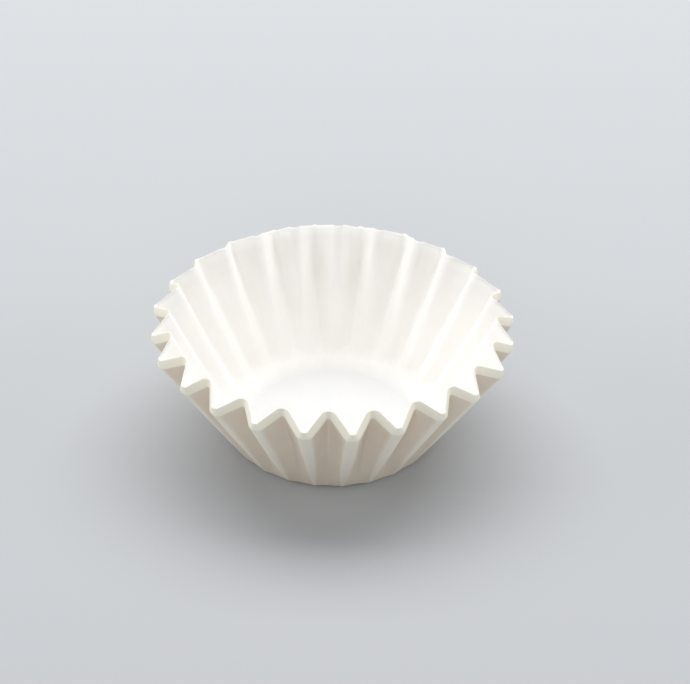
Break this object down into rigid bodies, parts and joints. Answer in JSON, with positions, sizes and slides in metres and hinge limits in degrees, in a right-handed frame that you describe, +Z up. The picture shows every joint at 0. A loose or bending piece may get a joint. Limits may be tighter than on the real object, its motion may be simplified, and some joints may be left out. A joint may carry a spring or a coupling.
{
  "type": "paper coffee filter",
  "caption": "Flat-bottomed fluted paper filter for a basket coffee brewer: round floor, pleated flaring wall, rim that rises and dips with the pleats.",
  "frame": {"origin": "centre of the flat underside, on the surface it stands on", "axes": "+Z up along the axis of the cup; a groove of the pleated wall faces -Y, the front"},
  "size_m": [0.148, 0.148, 0.0558],
  "materials": {
    "filter_paper": "matt white creped paper, slightly warm"
  },
  "bodies": {
    "root": {"coffee_filter": "filter_paper"}
  },
  "joints": []
}
